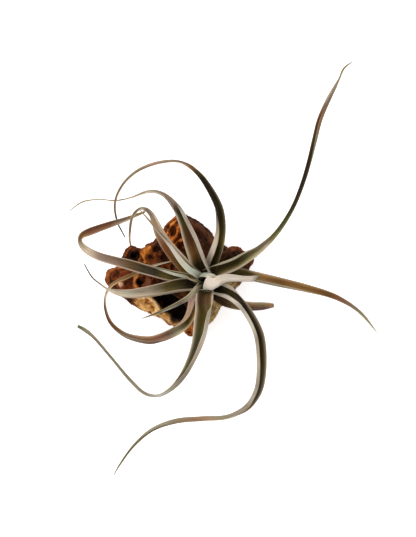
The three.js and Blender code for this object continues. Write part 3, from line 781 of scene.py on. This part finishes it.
# %% Smooth line of a leaf
def smooth_line(rows, fine=24):
    """Places along a centripetal curve through the rows, and the row number of each place."""
    points = [np.array(row, float) for row in rows]
    points = [2 * points[0] - points[1]] + points + [2 * points[-1] - points[-2]]
    line, number = [], []
    for i in range(len(rows) - 1):
        a, b, c, d = points[i:i + 4]
        before, here, after = (
            max(np.linalg.norm((q - p)[:3]), 1e-6) ** 0.5 for p, q in ((a, b), (b, c), (c, d))
        )
        start = ((b - a) / before - (c - a) / (before + here) + (c - b) / here) * here
        end = ((c - b) / here - (d - b) / (here + after) + (d - c) / after) * here
        for k in range(fine):
            t = k / fine
            line.append(
                (2 * t**3 - 3 * t**2 + 1) * b + (t**3 - 2 * t**2 + t) * start
                + (3 * t**2 - 2 * t**3) * c + (t**3 - t**2) * end
            )
            number.append(i + t)
    line.append(points[-2])
    number.append(len(rows) - 1)
    return np.array(line), np.array(number)


def even_places(rows, step):
    """The line cut into steps of even length: places, row numbers, distance from the base."""
    line, number = smooth_line(rows)
    length = np.concatenate([[0], np.cumsum(np.linalg.norm(np.diff(line[:, :3], axis=0), axis=1))])
    at = np.linspace(0, length[-1], max(10, round(length[-1] / step)) + 1)
    places = np.stack([np.interp(at, length, column) for column in line.T], 1)
    return places, np.interp(at, length, number), at


for name in ("leaf_upper_right_long", "leaf_bud"):
    print(name, "is", round(even_places(with_foot(name), 1)[2][-1]), "mm long")

# %% [markdown]
# ## The colours of a leaf
# A leaf of this kind is olive in its channel near the base, turns brown to pink along its length and
# ends in a grey thread. Its back and its young leaves are silver with scurf. A small palette names these
# colours as they look in the light. Each leaf lists which colour its two faces have at some of its rows,
# and they are blended in between. The light is a little over one, so that white paper stays white, and
# `LIT` takes that out of every colour again. A channel lies in the shade of its own flanks, so its light
# is less than one. Most leaves also have margins that are paler than the faces, and a second table says
# how pale they are.

# %% Leaf palette
LIT = 1.22
CHANNEL_LIT = 0.9
# The nearly black first colour is painted shade, where the feet of the leaves sit deep in the rosette.
PALETTE = dict(pair.split("=") for pair in """
    throat=120e06 deep=241c08 umber=34290f olive=473d1a bronze=5e5426 tawny=5e4626 green=50532f moss=6b6842
    slate=55503f earth=50381c rust=4f2a10 chestnut=6b452c brown=704e26 russet=965f3c amber=86683a
    rose_brown=7e5c44 mauve=a0796a clay=94714e sand=a8896a ash=82745a stone=8f8273 pewter=8a8468 dun=96886a
    lichen=9a977c fog=a9a397 silver_green=a6ad9f silver=b6b096 mist=bdbcb2 hemp=b3a792 tan=ab9272
    blush=b8a088 shell=c6b9a2 pearl=cfc5b8 frost=cfd7c6 chalk=ddd3c8 dusk=7c6c5f rosy=94857b lead=85806f""".split())


def blended(stops, at, lit):
    """Colours at some row numbers. The stops are a row number and a colour by turns."""
    words = stops.split()
    rows = [float(word) for word in words[::2]]
    colours = np.array([linear(PALETTE[word]) for word in words[1::2]]) / lit
    return np.stack([np.interp(at, rows, colours[:, k]) for k in range(3)] + [np.ones(len(at))], 1)


print(len(PALETTE), "leaf colours")

# %% Leaf colours
# the inner face, then the back; the nearly black stops are painted shade
PAINT = {
    "leaf_centre_folded": (
        "0 throat 3 throat 4 ash 5 lichen 9 lichen 11 silver",
        "0 silver_green 2 silver_green 3 chalk 5 chalk 6 pearl 9 pearl 10 chalk 11 moss",
    ),
    "leaf_bud": (
        "0 throat 1 silver",
        "0 moss 1 pewter",
    ),
    "leaf_upper_left_narrow": (
        "0 moss 1 throat 2 umber 3 dun 4 hemp 5 fog 6 stone 8 sand",
        "0 frost 3 frost 4 chalk 5 pearl 6 hemp 8 sand",
    ),
    "leaf_lower_left_narrow": (
        "0 deep 1 silver 2 lichen 3 ash 4 moss",
        # the slate at rows 3 and 5 of the back is painted shade on its left side
        "0 ash 1 pewter 2 hemp 3 slate 4 fog 5 slate",
    ),
    "leaf_left_narrow": (
        "0 umber 1 bronze 2 bronze 3 olive 4 moss",
        "0 silver 2 lichen 3 frost 4 mist",
    ),
    "leaf_top": (
        "0 umber 1 umber 2 amber 3 chestnut 4 bronze 5 slate 6 rosy 8 rosy 9 fog 10 mist 12 dun",
        "0 silver 1 pearl 3 pearl 4 hemp 5 pearl 6 olive 7 ash 8 hemp 9 chalk 11 blush 12 dun 14 silver",
    ),
    "leaf_front": (
        "0 olive 1 earth 2 bronze 3 bronze 4 green 5 slate 7 moss 8 slate 9 stone 13 lead 15 lead "
        "16 green",
        "0 blush 2 hemp 3 silver 4 pearl 5 shell 6 hemp 7 stone 8 stone 9 lichen 10 mist 11 ash 13 lead "
        "16 lead",
    ),
    "leaf_lower_right_long": (
        "0 deep 1 deep 2 bronze 3 umber 4 deep 5 umber 7 umber 8 olive 9 slate 10 slate 11 ash 13 ash "
        "14 clay 15 dusk 17 pewter",
        "0 silver_green 1 lichen 2 chalk 3 chalk 4 fog 5 mist 6 pearl 7 stone 8 hemp 9 stone 10 fog "
        "11 ash 12 stone 13 pewter 14 clay 15 ash 17 pewter 18 silver",
    ),
    "leaf_upper_right_long": (
        "0 umber 1 olive 2 olive 3 moss 4 pewter 5 stone 6 moss 7 green 8 umber 9 deep 10 umber 11 olive "
        "12 chestnut 13 fog 14 fog 16 dun",
        "0 silver 1 lichen 3 pewter 4 silver 6 moss 9 pewter 11 ash 12 clay 13 rose_brown 14 dun 15 hemp "
        "17 silver",
    ),
    "leaf_top_loop": (
        "0 throat 1 olive 2 umber 3 bronze 4 olive 5 umber 7 deep 9 deep 10 olive 11 clay 12 mist "
        "13 blush 14 hemp 16 hemp 17 tan 18 slate",
        "0 lichen 1 ash 2 chalk 3 shell 4 dun 5 slate 8 slate 11 brown 12 rust 13 ash 14 mauve 15 ash "
        "16 ash 18 slate",
    ),
    "leaf_left_hairpin": (
        "0 throat 1 umber 2 bronze 3 deep 4 umber 5 tawny 6 dusk 7 rosy 8 pearl 9 hemp 10 ash 11 amber "
        "12 chestnut 13 chestnut 14 stone 15 dun",
        "0 silver 3 dun 5 tan 6 shell 8 tan 9 blush 11 shell 14 clay",
    ),
    "leaf_left": (
        "0 throat 1 deep 2 olive 3 bronze 4 fog 5 mist 6 fog 7 mist 8 stone 9 slate",
        "0 ash 1 dun 2 ash 3 ash 4 sand 5 blush 7 pearl 8 stone 9 slate",
    ),
    "leaf_right": (
        "0 deep 1 throat 2 bronze 3 olive 4 amber 5 brown 6 amber 7 brown 8 rose_brown 9 stone 10 lichen "
        "11 silver",
        "0 ash 3 dun 5 pewter 6 tan 8 blush 10 lichen",
    ),
    "leaf_upper_left_broad": (
        "0 deep 1 amber 2 amber 3 russet 4 blush 5 hemp 6 rosy 7 dusk 8 mist 9 dun 10 hemp 11 dusk "
        "12 shell 13 tan",
        "0 lichen 2 lichen 3 dun 4 tan 6 dun 8 tan 10 clay 12 shell",
    ),
    "leaf_lower_left_curl": (
        # on both faces the nearly black foot, to about half a row, is painted shadow of the crown
        "0 throat 0.5 deep 1 amber 2 amber 3 bronze 4 lichen 5 dusk 6 mauve 7 clay 8 dusk 9 brown "
        "10 rose_brown 11 dusk 12 chalk 13 tan 14 amber 15 fog",
        "0 throat 0.45 deep 1 mauve 2 sand 3 sand 4 tan 5 brown 6 rust 7 chestnut 8 ash 9 brown 10 clay "
        "12 blush 13 mauve 14 clay",
    ),
    "leaf_lower_right_short": (
        "0 deep 1 deep 2 earth 3 ash 4 tan 5 dun 6 tan 7 clay",
        "0 ash 3 brown 4 rust 5 rust 6 chestnut 7 pewter",
    ),
}
print("colours for", len(PAINT), "leaves")

# %% Pale margins
# row number, then how pale the left and the right margin are
EDGES = {
    "leaf_centre_folded": "0 0.2 0.2",
    "leaf_bud": "0 0.2 0.2",
    "leaf_top": "0 0.8 0.5, 5 1 0.6, 8 0.3 0.3",
    "leaf_front": "0 0.8 1, 4 0.7 0.9, 6 0.4 0.7, 9 0.2 0.2",
    "leaf_lower_right_long": "0 0.3 0.3, 9 0.2 0.2",
    "leaf_upper_right_long": "0 0.5 0.6, 4 0.4 0.5, 6 0.1 0.1",
    "leaf_top_loop": "0 0.6 0, 4 0.4 0.1, 8 0.3 0.3, 10 0.2 0.2",
    "leaf_left_hairpin": "0 0.9 0.8, 8 0.8 0.7, 12 0.4 0.4, 14 0.1 0.1",
    "leaf_left": "0 0.9 1, 5 0.8 0.8, 7 0.2 0.2",
    "leaf_right": "0 0.4 0.4, 6 0.3 0.4, 8 0.2 0.2",
    "leaf_upper_left_broad": "0 0 0.6, 3 0.1 0.6, 4 0.7 0.7, 7 0.2 0.2",
    "leaf_lower_left_curl": "0 0.2 0.6, 4 0.4 0.8, 7 0.4 0.6, 9 0.1 0.1",
    "leaf_lower_right_short": "0 0.3 0",
}
PLAIN_EDGES = "0 0.3 0.3"
EDGE_START = {"leaf_left_hairpin": 0.5, "leaf_left": 0.6}
PLAIN_EDGE_START, EDGE_BLUR = 0.68, 0.2


def paleness(name, rows_at, share):
    """How pale a point is, by its row number and its place between the margins, -1 and 1."""
    rows, *sides = np.array(rows_of(EDGES.get(name, PLAIN_EDGES))).T
    left, right = (np.interp(rows_at, rows, side) for side in sides)
    start = EDGE_START.get(name, PLAIN_EDGE_START)
    return np.where(share < 0, left, right) * np.clip((np.abs(share) - start) / EDGE_BLUR, 0, 1)


print("margins of the front leaf:", paleness("leaf_front", 0, np.array([-1, 1])))

# %% [markdown]
# ## Making one blade
# A flat grid is the strip of leaf before it folds. Its columns run along the leaf and its rows across it.
# Every point is then set on the leaf's line by the section at that place, which no single operator can
# do, because both folds and the width change all the way. A Solidify modifier makes the flesh, thick at
# the keel and thin at the margins, and gives the back and the margin materials of their own.

# %% Places of a blade's points
STRIP_STEP = 1.0
THINNEST = 0.45
SWAY, SWAY_LENGTH = 3, 16
# how much of the blade is left of its keel, by row number, and a slanted tip: its slant and its reach
LEFT_PART = {"leaf_centre_folded": {0: 0.5, 2: 0.5, 3: 0.42, 4: 0.36, 6: 0.33}}
TIP_CUT = {"leaf_centre_folded": (1.05, 8)}


def unit(vectors):
    return vectors / np.linalg.norm(vectors, axis=1)[:, None]


def folded_points(name, places, number, along):
    """A grid of points, by place along the blade and lane across it, and the unrolled widths."""
    centre = places[:, :3]
    tangent = unit(np.gradient(centre, axis=0))
    side = unit(np.cross(tangent, (0, 0, 1)))
    up = np.cross(side, tangent)
    points = np.zeros((len(places), ACROSS + 1, 3))
    unrolled = np.zeros(len(places))
    seed = sum(map(ord, name)) * 1.7
    parts = LEFT_PART.get(name, {0: 0.5})
    left_part = np.interp(number, list(parts), list(parts.values()))
    slant, reach = TIP_CUT.get(name, (0, 1))
    for i, (_, _, _, width, left, right, curved) in enumerate(places):
        sway = SWAY * min(1, along[i] / 40) * noise.noise((along[i] / SWAY_LENGTH, seed, 0))
        width = max(width, THINNEST)
        out, rise, unrolled[i] = blade_section(width, left + sway, right - sway, curved, left_part[i])
        near_tip = np.clip(1 - (along[-1] - along[i]) / reach, 0, 1)
        points[i] = centre[i] + np.outer(out, side[i] - slant * near_tip * tangent[i]) + np.outer(rise, up[i])
    return points, unrolled


print("a blade has", ACROSS + 1, "points across")

# %% Blade helper
def shape_blade(name):
    rows = with_foot(name)
    places, number, along = even_places(rows, STRIP_STEP)
    number -= len(FOOT_ROWS)
    last = len(places) - 1
    bpy.ops.object.select_all(action="DESELECT")
    bpy.ops.mesh.primitive_grid_add(x_subdivisions=last, y_subdivisions=ACROSS, size=2)
    blade = bpy.context.object
    mesh = blade.data
    blade.name = mesh.name = name + "_blade"
    flat = np.array([vertex.co[:] for vertex in mesh.vertices])
    column = np.rint((flat[:, 0] + 1) / 2 * last).astype(int)
    lane = np.rint((1 - flat[:, 1]) / 2 * ACROSS).astype(int)
    points, unrolled = folded_points(name, places, number, along)
    place_points(mesh, points[column, lane])
    share = lane / ACROSS * 2 - 1
    loops = np.array([loop.vertex_index for loop in mesh.loops])
    uv = np.stack([along[column] / 10, share * unrolled[column] / 20], 1)
    mesh.uv_layers.active.data.foreach_set("uv", uv[loops].ravel())
    for attribute, stops, lit in zip(("inner_tint", "outer_tint"), PAINT[name], (CHANNEL_LIT, LIT)):
        keep_tint(mesh, attribute, blended(stops, number[column], lit))
    pale = paleness(name, number[column], share)
    for attribute, values in (("across", np.abs(share)), ("pale_edge", pale)):
        mesh.attributes.new(attribute, "FLOAT", "POINT").data.foreach_set("value", values)
    flesh = blade.vertex_groups.new(name="flesh")
    for index, weight in enumerate(flesh_at(share, unrolled[column])):
        flesh.add([index], float(weight), "REPLACE")
    return blade


def flesh_out(blade, materials):
    for material in materials:
        blade.data.materials.append(material)
    apply(blade, "SOLIDIFY", thickness=FLESH * MM, offset=-1, vertex_group="flesh",
          material_offset=1, material_offset_rim=2)
    bpy.ops.object.shade_smooth()
    return blade


# %% [markdown]
# ## Leaf skin
# The skin of an air plant is covered with tiny scales that drink the dew. They show as a silver bloom,
# thicker on the back, broken into fine lines along the leaf. The lines and the bloom are one shader node
# group, so that the inner face, the back and the margin share them with strengths of their own. The
# pattern follows the leaf because it reads the blade's own map, in centimetres along and across.

# %% Skin group
def leaf_skin_group():
    group, given, result = group_with(
        "leaf_skin",
        [("Tint", "Color", (0.3, 0.25, 0.15, 1)), ("Bloom", "Float", 0.3),
         ("Bloom Color", "Color", (0.7, 0.68, 0.62, 1)), ("Lines", "Float", 0.5)],
        [("Color", "Color"), ("Height", "Float")],
    )
    skin_map = put(group, "ShaderNodeUVMap", uv_map="UVMap").outputs[0]
    long_map, wide_map = (
        put(group, "ShaderNodeMapping", {"Vector": skin_map, "Scale": scale}).outputs[0]
        for scale in ((0.5, 15, 1), (0.22, 4, 1))
    )
    lines, bands = noise_at(group, long_map, 1.6, 3), noise_at(group, wide_map, 1.3, 2)
    patches, specks = noise_at(group, skin_map, 1.1, 4), noise_at(group, skin_map, 30, 2)
    dark = filtered(group, given["Tint"], 0.56, 0.53, 0.5)
    light = filtered(group, given["Tint"], 1.38, 1.36, 1.34)
    lined = mix(group, ramp(group, lines, 0.3, 0.7), dark, light)
    lined = mix(group, given["Lines"], given["Tint"], lined)
    toned = mix(group, ramp(group, patches, 0.4, 0.75), lined, filtered(group, lined, 1.06, 0.95, 0.87))
    bloom = product(group, ramp(group, specks, 0.42, 0.68), ramp(group, bands, 0.25, 0.7))
    bloom = product(group, bloom, given["Bloom"], clamp=True)
    height = product(group, lines, 0.8, plus=product(group, specks, 0.35))
    fill(group, result, {"Color": mix(group, bloom, toned, given["Bloom Color"]), "Height": height})
    return group


skin = leaf_skin_group()
print("group", skin.name, "has", len(skin.nodes), "nodes")

# %% Leaf materials
def leaf_material(name, attribute, bloom, lines, middle, flank_light_and_shade, pale_share, roughness):
    made, tree, shader = node_material(name, {"Roughness": roughness, "Specular IOR Level": 0.1})
    tint, across = kept(tree, attribute, "Color"), kept(tree, "across", "Fac")
    # Painted light and shade across the blade: the inner face is darkened at the keel as shade and lightened on the
    # flanks, and the back and the margin darken towards the margins as shade.
    keel_painted_light, flank_painted_light = filtered(tree, tint, *middle), filtered(tree, tint, *flank_light_and_shade)
    shaded = mix(tree, ramp(tree, across, 0.05, 0.8), keel_painted_light, flank_painted_light)
    pattern = put(tree, "ShaderNodeGroup", node_tree=skin)
    fill(tree, pattern, {"Tint": shaded, "Bloom": bloom, "Lines": lines})
    pale = mix(tree, pale_share, pattern.outputs["Color"], (0.6, 0.49, 0.37, 1))
    color = mix(tree, kept(tree, "pale_edge", "Fac"), pattern.outputs["Color"], pale)
    height = pattern.outputs["Height"]
    bump = put(tree, "ShaderNodeBump", {"Height": height, "Strength": 0.5, "Distance": 0.4 * MM})
    fill(tree, shader, {"Base Color": color, "Normal": bump.outputs[0]})
    return made


# colour attribute, bloom, lines, painted light and shade at the keel and at the margins, paleness, roughness
faces = [leaf_material(*values) for values in (
    ("leaf_inner_face", "inner_tint", 0.08, 0.85, (0.8, 0.76, 0.68), (1.25, 1.22, 1.18), 0.9, 0.5),
    ("leaf_outer_face", "outer_tint", 0.33, 0.75, (1, 1, 1), (0.86, 0.85, 0.82), 0.2, 0.7),
    ("leaf_margin", "outer_tint", 0.2, 0.3, (1, 1, 1), (0.8, 0.78, 0.74), 0.6, 0.65),
)]
print("materials of a blade:", [face.name for face in faces])

# %% Leaves
for name in ROUTES:
    blade = flesh_out(shape_blade(name), faces)
    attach(blade, "root")
    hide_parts(name)
    print(blade.name, len(blade.data.polygons), "faces")
